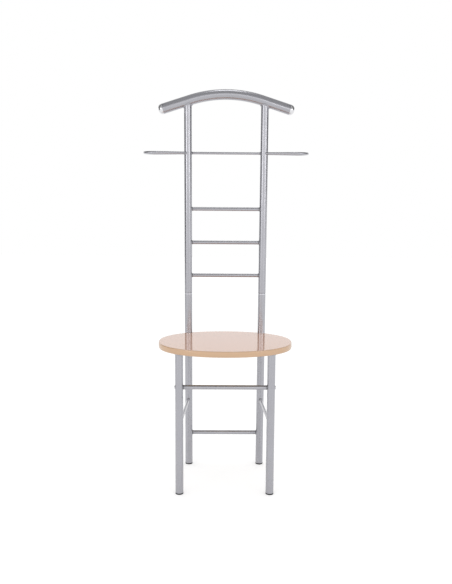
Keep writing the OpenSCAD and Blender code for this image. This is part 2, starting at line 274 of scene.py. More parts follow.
def quarter(edge, steps):
    """A quarter circle of radius edge as steps pairs (edge - edge cos t, edge - edge sin t), which run from
    (0, edge) to (edge, 0). A sharp edge gives one pair of zeros."""
    if not edge:
        return [(0.0, 0.0)]
    return [(edge * (1 - x), edge * (1 - y)) for x, y in arc(0, np.pi / 2, steps)]


def carried(path, s, radius, count):
    """Round section carried along a path: centre(s) + radius * (cos a * side + sin a * up). Rows run
    along the path and columns round the section, and s and radius may both differ from point to point."""
    a = around(count)
    s = np.broadcast_to(s, (len(s), count))
    centre, side, up = path(s)
    radius = np.broadcast_to(radius, s.shape)[..., None]
    return centre + radius * (np.cos(a)[:, None] * side + np.sin(a)[:, None] * up)


def turned_profile(path, profile, count):
    """The round surface that a profile of (s, radius) pairs makes along a path."""
    rows = array(profile)
    return carried(path, rows[:, :1], rows[:, 1:], count)


def quads(rows, columns, wrap_rows=False, wrap_columns=True):
    """Corner numbers of the four-sided faces between neighbours of a rows x columns grid."""
    r = np.arange(rows if wrap_rows else rows - 1)[:, None]
    c = np.arange(columns if wrap_columns else columns - 1)[None, :]
    r1, c1 = (r + 1) % rows, (c + 1) % columns
    corners = [r * columns + c, r * columns + c1, r1 * columns + c1, r1 * columns + c]
    return np.stack(corners, -1).reshape(-1, 4)


def shell(points, wrap_rows=False, wrap_columns=True, caps=()):
    """A grid of points as (points, faces). caps names the rows or columns whose ring is closed by one flat
    face: "first", "last" for rows, "start", "end" for columns."""
    rows, columns = points.shape[:2]
    faces = quads(rows, columns, wrap_rows, wrap_columns).tolist()
    order = np.arange(rows * columns).reshape(rows, columns)
    rings = {"first": order[0], "last": order[-1], "start": order[:, 0], "end": order[:, -1]}
    faces += [rings[cap].tolist() for cap in caps]
    return points.reshape(-1, 3), faces


def joined(shells):
    """Several shells as one set of points and faces."""
    points, faces, total = [], [], 0
    for some, corners in shells:
        points.append(some)
        faces += [[k + total for k in face] for face in corners]
        total += len(some)
    return np.concatenate(points), faces


# ---- where a tube's end meets something


def on_tube(line, radius, near):
    """An end that follows the skin round a line of (point, direction). Along p + s d, with everything taken
    square to the line, |m + s d| = radius: a quadratic in s, whose near or far root is the end."""
    place, axis = array(line[0]), unit(array(line[1]))

    def square(vectors):
        return vectors - np.sum(vectors * axis, -1, keepdims=True) * axis

    def end(points, along):
        d, m = square(along), square(points - place)
        dd, md = np.sum(d * d, -1), np.sum(m * d, -1)
        root = np.sqrt(np.maximum(md**2 - dd * (np.sum(m * m, -1) - radius**2), 0))
        return (-md + (-root if near else root)) / dd

    return end


def on_level(height):
    """An end cut level at a height: s = (height - p.z) / d.z."""
    return lambda points, along: (height - points[..., Z]) / along[..., Z]


def square_cut(distance):
    """An end cut square at a distance along the path."""
    return lambda points, along: np.full(points.shape[:-1], float(distance))


NEAR_END = (0.0015, 0.003, 0.0045, 0.006)  # distances of the extra rings by which a rod's end shades
ROD_STEP = 0.03  # distance between the rings on the rest of a rod


def rod(start, end, radius, wall, cuts, count, side, lips=(0, 0), near=NEAR_END):
    """A round rod or tube from start to end, whose two ends follow the cuts. At each corner a and radius r
    the ends lie at s0(r, a) and s1(r, a), and a row at share u has s = s0 + u (s1 - s0), moved in by the
    rounding of the lips. wall 0 makes it solid, with its inner rings closed to a point."""
    start, end = array(start), array(end)
    span = np.linalg.norm(end - start)
    along = (end - start) / span
    inner = radius - wall if wall else 0.0
    shares = np.linspace(0, 1, max(2, int(span / ROD_STEP)) + 1)[1:-1]
    rows = [(inner, 0, 0)] + [(radius - fall, 0, rise) for rise, fall in quarter(lips[0], 7)]
    rows += [(radius, 0, ring) for ring in near] + [(radius, u, 0) for u in shares]
    rows += [(radius, 1, -ring) for ring in near[::-1]]
    rows += [(radius - rise, 1, -fall) for rise, fall in quarter(lips[1], 7)] + [(inner, 1, 0)]
    rows = array(rows)
    base = carried(straight(start, end, side), np.zeros((len(rows), 1)), rows[:, :1], count)
    direction = np.broadcast_to(along, base.shape)
    s0, s1 = cuts[0](base, direction), cuts[1](base, direction)
    s = s0 + rows[:, 1:2] * (s1 - s0) + rows[:, 2:3]
    points = base + s[..., None] * along
    return shell(points, wrap_rows=bool(wall)), points


def bead(seam, outward, along, size, ripples, shape=10):
    """A weld bead: a ring carried along a closed seam, point = seam + size (cos t * outward + sin t *
    along), where size swells a little ripples times on its way round, as a row of weld pools does."""
    t = around(shape)[:, None, None]
    swell = size * (1 + POOL_SWELL * np.cos(ripples * around(len(seam))))[None, :, None]
    return shell(seam + swell * (np.cos(t) * outward + np.sin(t) * along), wrap_rows=True)


def resampled(ring, count):
    """A closed ring with count corners, placed by straight steps between the ones it has."""
    at = np.linspace(0, len(ring), count, endpoint=False)
    closed = np.vstack([ring, ring[:1]])
    return np.stack([np.interp(at, np.arange(len(closed)), closed[:, k]) for k in (X, Y, Z)], -1)


def rod_bead(ring, along, on_axis, size, count=160):
    """The bead round a rod's end. The seam is the rod's end ring, filled in to count corners, and the bead
    stands out from the rod's skin and back along the rod. on_axis is any place on the rod's axis."""
    ring, along = resampled(ring, count), array(along)
    foot = on_axis + ((ring - on_axis) @ along)[:, None] * along
    girth = np.linalg.norm(np.diff(ring, axis=0), axis=1).sum()
    return bead(ring, unit(ring - foot), along, size, max(FEWEST_POOLS, round(girth / POOL)))


# ---- pieces


def sizes():
    """The scene's own sizes."""
    return bpy.context.scene.valet_sizes


def contact_shade_share(points, contacts):
    """How much painted contact shade each point gets near a rod's welded ends: the largest of depth *
    e^-((d^2 - r^2) / run^2) over the contacts (place, r, depth), where d is the distance to the place. It
    is depth on the ring of radius r round that place and fades within a few run along the rod."""
    share = np.zeros(len(points))
    for place, radius, depth in contacts:
        apart = np.sum((points - place) ** 2, axis=1)
        share = np.maximum(share, depth * np.exp(-np.maximum(apart - radius**2, 0) / CONTACT_SHADE_RUN**2))
    return share


def mark(mesh, name, share):
    """Stores a number from 0 to 1 on each point of a mesh, for its material to read."""
    mesh.attributes.new(name, "FLOAT", "POINT").data.foreach_set("value", share.astype(np.float32))


def placed(name, data):
    """A new object in the scene."""
    thing = bpy.data.objects.new(name, data)
    bpy.context.scene.collection.objects.link(thing)
    return thing


def make_piece(name, shells, material, slot, nodes, crease=CREASE, contacts=(), wear=None):
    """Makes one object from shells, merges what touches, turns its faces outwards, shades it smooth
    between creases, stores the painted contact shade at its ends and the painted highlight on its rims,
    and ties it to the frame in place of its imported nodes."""
    points, faces = joined(shells)
    mesh = bpy.data.meshes.new(name)
    mesh.from_pydata(points.tolist(), [], faces)
    work = bmesh.new()
    work.from_mesh(mesh)
    bmesh.ops.remove_doubles(work, verts=work.verts, dist=1e-6)
    bmesh.ops.dissolve_degenerate(work, edges=work.edges, dist=1e-7)
    bmesh.ops.recalc_face_normals(work, faces=work.faces)
    work.to_mesh(mesh)
    work.free()
    mesh.shade_smooth()
    mesh.set_sharp_from_angle(angle=math.radians(crease))
    mesh.materials.append(material)
    places = np.empty(3 * len(mesh.vertices), np.float32)
    mesh.vertices.foreach_get("co", places)
    places = places.reshape(-1, 3)
    # Painted contact shade, where the piece meets other parts, is stored as the seam number.
    if contacts:
        mark(mesh, "seam", contact_shade_share(places, contacts))
    # A painted highlight on a rim, where one is given.
    if wear:
        mark(mesh, "wear", wear(places))
    piece = placed(name, mesh)
    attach(piece, "root")
    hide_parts(*nodes)


def steel_piece(name, shells, node, **marks):
    """A piece of the silver frame."""
    make_piece(name, shells, steel_finish(), "satin_tube", [node], **marks)


def hanger_path():
    """The hanger's axis, with s = 0 at its middle."""
    bend = sizes().hanger_bend
    return bent(bend, sizes().hanger_slope, (0, BACK_Y, HANGER_TOP - HANGER_R - bend), ALONG_X, UP)


def hanger_half():
    """Length of the hanger's axis from its middle to a tube end. The dome, part of a ball, reaches
    furthest sideways where its skin faces sideways."""
    bend, slope, dome = sizes().hanger_bend, sizes().hanger_slope, sizes().cap_dome
    ball = (HANGER_R**2 + dome**2) / (2 * dome)
    beyond = ball - (ball - dome) * math.cos(slope)
    arm = HANGER_END - beyond - bend * math.sin(slope)
    return bend * slope + arm / math.cos(slope)


def under_hanger(points):
    """Height of the hanger's underside over each point: an arc of radius bend - q about the bend's centre,
    and beyond its end a straight line down the slope, where q is half the tube's chord at that depth."""
    bend, slope = sizes().hanger_bend, sizes().hanger_slope
    x, y = np.abs(points[..., X]), points[..., Y] - BACK_Y
    q = np.sqrt(np.maximum((HANGER_R - SINK) ** 2 - y**2, 0))
    inner = bend - q
    turn = inner * math.sin(slope)
    on_arc = HANGER_TOP - HANGER_R - bend + np.sqrt(np.maximum(inner**2 - np.minimum(x, turn) ** 2, 0))
    return on_arc - np.maximum(x - turn, 0) * math.tan(slope)


def make_hanger():
    """The bent tube, with rounded cut ends."""
    half, inner, curved = hanger_half(), HANGER_R - sizes().tube_wall, 0.12
    outer = finer_inside(CUT_LIP - half, -curved, curved, half - CUT_LIP, count=61)
    start = [(rise - half, HANGER_R - fall) for rise, fall in quarter(CUT_LIP, 5)[:-1]]
    stop = [(-s, r) for s, r in start[::-1]]
    rows = start + [(s, HANGER_R) for s in outer] + stop
    rows += [(s, inner) for s in (half, *outer[::-1], -half)]
    points = turned_profile(hanger_path(), rows, HANGER_SIDES)
    steel_piece("hanger", [shell(points, wrap_rows=True)], "hanger_tube")


def make_hanger_cap(name, side):
    """A plated cap: a plug in the tube, a short land with a rounded edge, and a dome that is part of an
    ellipse, r = R cos t and s = dome sin t."""
    land, edge, groove, chamfer = 0.0012, 0.0004, 0.0002, 0.001
    end, tip = -sizes().cap_plug, sizes().cap_dome - land
    plug = HANGER_R - sizes().tube_wall - PLUG_GAP
    rows = [(end, 0), (end, plug - chamfer), (end + chamfer, plug), (0, plug)]
    rows += [(0, HANGER_R - edge - groove)]
    rows += [(rise, HANGER_R - fall) for rise, fall in quarter(edge, 6)]
    rows += [(land + tip * y, HANGER_R * x) for x, y in arc(0, np.pi / 2, 33)]
    rows = array(rows)
    rows[-1, 1] = 0
    s = side * (rows[:, :1] + hanger_half())
    points = carried(hanger_path(), s, rows[:, 1:], CAP_SIDES)
    make_piece(f"hanger_cap_{name}_plated", [shell(points)], chrome_finish(), "polished_caps",
               ["hanger_cap_" + name])


def make_upright(name, side):
    """An upright with the weld bead that joins it to the hanger. Its lower end is rounded, and its upper
    end follows the hanger's underside: at corner a and radius r it is at under_hanger(r cos a, r sin a)."""
    low, high = (array((side * UPRIGHT_X, BACK_Y, height)) for height in (JOINT_HIGH, HANGER_TOP))

    def under(points, along):
        return under_hanger(points) - points[..., Z]

    tube, points = rod(low, high, TUBE_R, sizes().tube_wall, (square_cut(0), under), UPRIGHT_SIDES,
                       ALONG_X, (sizes().lip, 0))
    ring = resampled(points[-2], count=240)
    outward = unit((ring - low) * (1, 1, 0))
    weld = bead(ring, outward, -UP, sizes().hanger_bead, ripples=38, shape=12)
    # Painted shade over the upright's lower end, standing in for the shadow in the gap at the joint.
    joint = [(low, TUBE_R, JOINT_SHADE)]
    steel_piece(f"upright_{name}_tube", [tube, weld], "upright_" + name, contacts=joint)


def tube_line(side, raked):
    """A leg's axis as (point, direction). The front legs rake forward as they go down."""
    if raked:
        rake = sizes().leg_rake
        return array((side * FOOT_X, FOOT_Y, 0)), array((0, math.sin(rake), math.cos(rake)))
    return array((side * UPRIGHT_X, BACK_Y, 0)), UP


def at_leg(side, raked, near):
    """An end coped to a leg or an upright, a little into its skin."""
    return on_tube(tube_line(side, raked), TUBE_R - SINK, near)


def make_bar(name, node, start, end, radius, wall, legs, count=BAR_SIDES, side=ALONG_Y, welded=True):
    """A rod or tube from one leg to another, coped to both and welded round both ends. legs gives (side,
    raked) for the leg at its start and for the one at its end."""
    start, end = array(start), array(end)
    along = unit(end - start)
    cuts = (at_leg(*legs[0], False), at_leg(*legs[1], True))
    bar, points = rod(start, end, radius, wall, cuts, count, side)
    shells = [bar]
    for row, inward in ((1, along), (-2, -along)) if welded else ():
        shells.append(rod_bead(points[row], inward, start, sizes().bead))
    # Painted contact shade at both ends, where the bar meets the legs.
    contacts = [(start + along * TUBE_R, radius, 1), (end - along * TUBE_R, radius, 1)]
    steel_piece(name, shells, node, contacts=contacts)


def make_cross_bar(name, node, z, radius, wall, x=UPRIGHT_X, y=BACK_Y, raked=False, **ways):
    """A level bar from side to side: between the uprights or the rear legs, or between the front legs."""
    make_bar(name, node, (-x, y, z), (x, y, z), radius, wall, ((-1, raked), (1, raked)), **ways)


def make_stretcher(name, side):
    """A stretcher from the rear leg to the front leg, coped and welded at both ends."""
    start = (side * UPRIGHT_X, BACK_Y, STRETCHER_Z)
    end_y = FOOT_Y + STRETCHER_Z * math.tan(sizes().leg_rake)
    end = (side * (FOOT_X - sizes().stretcher_toe), end_y, STRETCHER_Z)
    make_bar(f"side_stretcher_{name}_rod", "side_stretcher_" + name, start, end, STRETCHER_R, 0,
             ((side, False), (side, True)), ROD_SIDES, UP)


def make_rail_loop(name, side):
    """A loop of rod beside the upright: its end is an arc, its two straight legs run to the upright's skin,
    and a bead closes each. s is 0 at the loop's outermost point."""
    bend, root, root_inset = sizes().loop_bend, sizes().loop_root / 2, 0.0055
    bent_share = (0.3, 0.7)  # shares of the loop's length between which it has the more rings
    centre_x = LOOP_END - ROD_R - bend
    run = centre_x - UPRIGHT_X - root_inset
    limit = math.pi / 2 + math.asin(bend / math.hypot(run, root)) - math.atan2(root, run)
    path = bent(bend, limit, (side * centre_x, BACK_Y, RAIL_Z), ALONG_Y, side * ALONG_X)
    half = limit * bend
    ends = []
    for way in (-1, 1):
        turn_end = path(way * half)[0]
        along = path(way * (half + 1))[0] - turn_end
        base = carried(path, np.full((1, 1), way * half), ROD_R, LOOP_SIDES)
        ends.append((turn_end, along, half + at_leg(side, False, True)(base, along)[0]))
    first, last = ends[0][2], ends[1][2]
    s = finer_inside(0, *bent_share, 1, count=64)[:, None] * (first + last) - first
    s = np.vstack([np.full_like(first, -first.mean()), s, np.full_like(last, last.mean())])
    radius = np.full((len(s), 1), ROD_R)
    radius[[0, -1]] = 0
    points = carried(path, s, radius, LOOP_SIDES)
    shells, contacts = [shell(points)], []
    for row, (turn_end, along, _) in zip((1, -2), ends):
        shells.append(rod_bead(points[row], -along, turn_end, sizes().bead, count=120))
        # Painted contact shade round this end, where the loop meets the upright.
        contacts.append((points[row].mean(axis=0), ROD_R, 1))
    steel_piece(f"rail_loop_{name}_rod", shells, "rail_loop_" + name, contacts=contacts)


def front_half_bead(seam, outward, a):
    """The bead on a rear leg: its size is the bead's times the root of 0.35 - 1.6 sin a, held from 0 to 1,
    and it ends where that is 0."""
    size = sizes().bead * np.clip(-1.6 * np.sin(a) + 0.35, 0, 1) ** 0.5
    t = around(10)[:, None, None]
    ring = seam + size[None, :, None] * (np.cos(t) * outward - np.sin(t) * UP)
    keep = size > 0
    first = int(np.argmax(keep & ~np.roll(keep, 1)))
    order = (first + np.arange(int(keep.sum()))) % len(a)
    return shell(ring[:, order], wrap_rows=True, wrap_columns=False, caps=("start", "end"))


def make_leg(kind, name, side, raked):
    """A leg: cut level above its foot, and at the top either rounded at the joint or level under its
    bearer, with the bead that holds the bearer. A rear leg's bead runs round its front half, under the
    bearer."""
    point, axis = tube_line(side, raked)
    top = BEARER_LOW if raked else JOINT_LOW
    past_rim, far_past_rim = HIGHLIGHT_RIM + 0.0001, 0.005
    near = (NEAR_END[0], HIGHLIGHT_RIM - RIM_FADE, past_rim, far_past_rim)
    tube, _ = rod(point, point + axis * top / axis[Z], TUBE_R, sizes().tube_wall,
                  (on_level(FOOT_T), on_level(top)), LEG_SIDES, ALONG_X,
                  (CUT_LIP, 0 if raked else sizes().lip), near)
    a = around(count=200)
    outward = np.stack([np.cos(a), np.sin(a), np.zeros_like(a)], -1)
    seam = point + axis * BEARER_LOW / axis[Z] + TUBE_R * outward
    if raked:
        weld, wear = bead(seam, outward, -UP, sizes().bead, ripples=40), None
    else:
        weld = front_half_bead(seam, outward, a)

        # Painted highlight: a rear leg's top rim is made lighter, as where its rounded lip catches the
        # light.
        def wear(points):
            return np.clip((points[:, Z] - JOINT_LOW + HIGHLIGHT_RIM) / RIM_FADE, 0, 1)

    steel_piece(f"{kind}_leg_{name}_tube", [tube, weld], f"{kind}_leg_{name}", wear=wear)


def headed(path, mouth, floor_share, dome, rim, under, count):
    """A screw or bolt with a recess in its head. Rings run from the recess's floor, a smaller copy of the
    mouth's outline, up to the mouth, over the dome to the rim, then down the profile given in under.
    dome(r) is the height of the head's skin, and mouth(a) the recess's outline."""
    inner_floor, lip, lip_drop, dome_rings = 0.96, 0.985, 0.00008, 9
    outline = mouth(around(count))
    floor = dome(0) - RECESS
    rings = [(0, floor)]
    rings += [(outline * share, floor) for share in (floor_share * inner_floor, floor_share)]
    rings += [(outline * lip, dome(outline) - lip_drop)]
    rings += [(r, dome(r)) for r in (outline + u * (rim - outline) for u in np.linspace(0, 1, dome_rings))]
    rings += [(r, s) for s, r in under]
    r, s = (np.stack([np.broadcast_to(ring[k], count) for ring in rings]) for k in (0, 1))
    return shell(carried(path, s, r, count))


def make_front_bar_bolts():
    """Two button-head bolts with six-sided sockets, through the front legs into the bar. The head is part
    of a ball, and the socket's outline is half its width / cos a', with a' the angle from the nearest
    flat's middle."""
    socket_half, blunt, sunk = 0.0019, 0.0001, 0.00005
    ball = (BOLT_HEAD_R**2 + BOLT_HEAD_T**2) / (2 * BOLT_HEAD_T)
    rim, tip = BOLT_HEAD_R - blunt, -TUBE_R - BOLT_REACH

    def dome(r):
        return BOLT_HEAD_T - ball + np.sqrt(ball**2 - array(r) ** 2)

    def socket(a):
        return socket_half / np.cos((a + np.pi / 6) % (np.pi / 3) - np.pi / 6)

    shells = []
    for _, side in SIDES:
        base = array((side * (FOOT_X + TUBE_R + WASHER_T), FRONT_BAR_Y, FRONT_BAR_Z))
        shank = [(-sunk, rim), (-sunk, BOLT_R), (tip, BOLT_R), (tip, 0)]
        path = straight(base, base + side * ALONG_X, UP)
        shells.append(headed(path, socket, 0.97, dome, rim, shank, BOLT_SIDES))
    make_piece("front_bar_bolt_pair", shells, chrome_finish(), "polished_caps", ["front_bar_bolts"],
               FINE_CREASE)


def make_front_bar_washers():
    """Two washers, flat under the bolt's head and coped to the leg."""
    shells, crown, edge = [], TUBE_R + WASHER_T, 0.0003
    for _, side in SIDES:
        start = array((side * FOOT_X, FRONT_BAR_Y, FRONT_BAR_Z))
        cuts = (on_tube(tube_line(side, True), TUBE_R, False), square_cut(crown))
        washer, _ = rod(start, start + side * crown * ALONG_X, WASHER_R, WASHER_WALL, cuts, BAR_SIDES,
                        ALONG_Y, (0, edge), ())
        shells.append(washer)
    steel_piece("front_bar_washer_pair", shells, "front_bar_washers")


def make_foot(kind, name, side, raked):
    """A black plug foot: a flange with a rounded, slightly hollow sole, and a ribbed plug inside the tube
    whose radius swells with cos(8 a)."""
    edge, lead, seat = 0.0005, 0.0003, FOOT_T - 0.0001  # the flange's rounding, chamfer and top
    hollow, inner_rim, outer_rim = 0.0006, 0.0042, 0.0034  # depth of the sole's hollow, insets of its rims
    rib, rib_count, root_step, tip_step = 0.0004, 8, 0.0002, 0.0012
    root, full, narrowing, tip = FOOT_T - 0.001, FOOT_T + 0.002, PLUG_TOP - 0.001, PLUG_TOP - 0.0003
    point, axis = tube_line(side, raked)
    rows = [(hollow, 0), (hollow, TUBE_R - inner_rim), (0, TUBE_R - outer_rim), (0, TUBE_R - edge)]
    rows += [(rise, TUBE_R - fall) for rise, fall in quarter(edge, 7)]
    rows += [(seat - lead, TUBE_R), (seat, TUBE_R - lead), (seat, 0)]
    flange = turned_profile(straight(point, point + UP, ALONG_X), rows, FOOT_SIDES)
    bore = TUBE_R - sizes().tube_wall - PLUG_GAP
    rows = array([(root, 0), (root, bore - root_step), (full, bore), (narrowing, bore),
                  (tip, bore - tip_step), (tip, 0)])
    swell = 1 - np.cos(rib_count * around(FOOT_SIDES))
    ribs = rows[:, 1:] - np.where(rows[:, 1:] > 0, rib, 0) * swell
    plug = carried(straight(point, point + axis, ALONG_X), rows[:, :1], ribs, FOOT_SIDES)
    make_piece(f"foot_{kind}_{name}_plug", [shell(flange), shell(plug)], plastic_finish(), "black_plastic",
               [f"foot_{kind}_{name}"])


# ---- seat

NOTCH = array((UPRIGHT_X, BACK_Y))  # centre of the right cut-out
NOTCH_SEARCH, NOTCH_TRIES = (25, 85), 60001  # degrees of the oval where it is sought, and steps between
LOOP_STEPS = (300, 90, 30)  # corners of the board's outline: its front, its back and each cut-out
BAND_STEPS = (360, 110)  # rings along the band: its front length and its back length


def power(value, exponent):
    """A value's power, with the value's sign kept."""
    return np.sign(value) * np.abs(value) ** exponent


def oval(t, inset):
    """The seat's outline: x = a cos^(2/p) t and y = b sin^(2/p) t with signs kept, moved inwards by inset
    along its normal, which is (x^(p-1) / a^p, y^(p-1) / b^p) made one unit long."""
    p = sizes().seat_power
    x, y = power(np.cos(t), 2 / p), power(np.sin(t), 2 / p)
    n = unit(np.stack([power(x, p - 1) / SEAT_A, power(y, p - 1) / SEAT_B], -1))
    return np.stack([SEAT_A * x, SEAT_Y + SEAT_B * y], -1) - array(inset)[..., None] * n


def notch_crossings(inset, radius):
    """The two angles at which the outline, moved in by inset, enters and leaves the right cut-out."""
    t = np.linspace(*map(math.radians, NOTCH_SEARCH), NOTCH_TRIES)
    inside = np.nonzero(np.hypot(*(oval(t, inset) - NOTCH).T) < radius)[0]
    return t[inside[0]], t[inside[-1]]


def seat_loop(shrink):
    """The board's outline as one closed loop: the front of the oval, the right cut-out, the back of the
    oval and the left cut-out. shrink moves all of it inwards, so the cut-outs grow by it."""
    inset, radius = sizes().band + shrink, sizes().notch_r + shrink
    enter, leave = notch_crossings(inset, radius)
    front = oval(np.linspace(np.pi - enter, 2 * np.pi + enter, LOOP_STEPS[0]), inset)
    back = oval(np.linspace(leave, np.pi - leave, LOOP_STEPS[1]), inset)
    turns = [math.atan2(y, x) % (2 * math.pi) for x, y in (front[-1] - NOTCH, back[0] - NOTCH)]
    right = NOTCH + radius * arc(*turns, LOOP_STEPS[2])[1:-1]
    return np.concatenate([front, right, back, right[::-1] * (-1, 1)])


def plate(loop, rows):
    """A flat plate: loop(shrink) gives its outline, and each row of (shrink, height) is one ring."""
    rings = [np.insert(loop(shrink), Z, height, axis=1) for shrink, height in rows]
    return shell(np.stack(rings), caps=("first", "last"))


def rounded_rows(low, high, low_edge, high_edge, margin=0.004):
    """Rings of a plate's rim from its underside to its top, each edge a quarter circle, with one more ring
    inside each flat so that the flats shade flat."""
    rows = [(low_edge + margin, low)] + [(fall, low + rise) for rise, fall in quarter(low_edge, 6)]
    rows += [(rise, high - fall) for rise, fall in quarter(high_edge, 6)]
    return rows + [(high_edge + margin, high)]


def make_seat_board():
    """The board: its loop carried up its thickness, with small rounded edges."""
    rows = rounded_rows(SEAT_LOW, SEAT_TOP - sizes().laminate, low_edge=0.0004, high_edge=0.0001)
    make_piece("seat_board_wood", [plate(seat_loop, rows)], board_finish(), "beech_board", ["seat_board"])


def make_seat_laminate():
    """The glossy sheet on the board, with a fine rounded rim."""
    rows = rounded_rows(SEAT_TOP - sizes().laminate, SEAT_TOP, low_edge=0.0001, high_edge=0.0003)
    make_piece("seat_top_laminate", [plate(seat_loop, rows)], laminate_finish(), "pale_laminate",
               ["seat_laminate"])


def make_seat_band():
    """The edge band: a section of (inset, height) carried round the oval, in two lengths that stop at the
    cut-outs. Its outer side is half a full ellipse, inset = deep (1 - cos^(2/p) t) and height = half
    sin^(2/p) t. Each line of the section stops where it meets the cut-out itself."""
    small, least, fullness, band = 0.0002, 0.0004, 2.6, sizes().band
    half, deep = (SEAT_TOP - SEAT_LOW) / 2, band - least
    x, y = power(arc(-np.pi / 2, np.pi / 2, 31), 2 / fullness).T
    inner = [(band - small, half), (band, half - small), (band, small - half), (band - small, -half)]
    section = np.vstack([np.stack([deep * (1 - x), half * y], -1), inner]) + (0, (SEAT_TOP + SEAT_LOW) / 2)
    enter, leave = array([notch_crossings(inset, sizes().notch_r) for inset in section[:, 0]]).T
    shells = []
    spans = (np.pi - enter, 2 * np.pi + enter), (leave, np.pi - leave)
    for (first, last), count in zip(spans, BAND_STEPS):
        t = np.linspace(first, last, count, axis=1)
        height = np.broadcast_to(section[:, 1:], t.shape)[..., None]
        points = np.concatenate([oval(t, section[:, :1]), height], -1)
        shells.append(shell(points, wrap_rows=True, wrap_columns=False, caps=("start", "end")))
    make_piece("seat_edge_banding", shells, band_finish(), "beech_edge", ["seat_edge_band"])


def bearer_line(side):
    """A bearer's line: its start at the rear leg, its direction and its length."""
    start = array((side * UPRIGHT_X, BACK_Y))
    run = array((side * FOOT_X, FOOT_Y + BEARER_LOW * math.tan(sizes().leg_rake))) - start
    return start, unit(run), np.linalg.norm(run)


def make_bearer(name, side):
    """A flat bar under the seat: its outline goes along one side, round the front end, back along the
    other side and round the rear leg, and its edges are rounded."""
    start, along, span = bearer_line(side)
    across, clearance, round_steps, side_steps = array((-along[Y], along[X])), 0.0001, 41, 14

    def loop(shrink):
        half, hug = sizes().bearer_w / 2 - shrink, TUBE_R + clearance + shrink
        nose = half * arc(-np.pi / 2, np.pi / 2, round_steps) + (span, 0)
        long_side = np.stack([np.linspace(shrink, span, side_steps), np.full(side_steps, half)], -1)
        limit = math.acos(shrink / hug)
        rear = hug * arc(limit, -limit, round_steps)
        ring = np.concatenate([long_side[:-1] * (1, -1), nose, long_side[-2::-1], rear])
        return start + ring[:, :1] * along + ring[:, 1:] * across

    rows = rounded_rows(BEARER_LOW, SEAT_LOW, low_edge=0.0006, high_edge=0.0002, margin=0.0002)
    steel_piece(f"seat_bearer_{name}_bar", [plate(loop, rows)], "seat_bearer_" + name)


def make_seat_screws():
    """Pan-head screws with a cross recess, up through the bearers into the board. The recess's outline is
    the smaller of an arm's length and half width / sin a', with a' the angle from the nearest arm."""
    arm, half_width, point, places = 0.0021, 0.00055, 0.003, (0.19, 0.5, 0.81)
    below_one, least_sine = 0.999, 0.05  # they keep the root above 0 and the quotient in bounds

    def dome(r):
        share = np.clip((array(r) - SCREW_FLAT_R) / (SCREW_HEAD_R - SCREW_FLAT_R), 0, 1)
        return SCREW_RIM_T + (SCREW_HEAD_T - SCREW_RIM_T) * np.sqrt(1 - share**2 * below_one)

    def cross(a):
        off = np.abs((a + np.pi / 4) % (np.pi / 2) - np.pi / 4)
        return np.minimum(arm, half_width / np.maximum(np.sin(off), least_sine))

    shank = [(0, SCREW_HEAD_R), (0, SCREW_R), (point - SCREW_BITE, SCREW_R), (-SCREW_BITE, 0)]
    shells = []
    for _, side in SIDES:
        start, along, span = bearer_line(side)
        for share in places:
            base = array((*(start + along * span * share), BEARER_LOW))
            path = straight(base, base - UP, ALONG_X)
            shells.append(headed(path, cross, 0.5, dome, SCREW_HEAD_R, shank, SCREW_SIDES))
    make_piece("seat_screw_set", shells, zinc_finish(), "zinc_steel", ["seat_screws"], FINE_CREASE)


# ---- finishes


def put(value, socket):
    """Links an output to an input, or sets a constant on it."""
    if isinstance(value, bpy.types.NodeSocket):
        socket.id_data.links.new(value, socket)
    else:
        socket.default_value = value


def added(tree, kind, inputs, **settings):
    """A new node, with its settings, and its inputs set or linked."""
    node = tree.nodes.new("ShaderNode" + kind)
    for name, value in settings.items():
        setattr(node, name, value)
    for name, value in inputs.items():
        put(value, node.inputs[name])
    return node


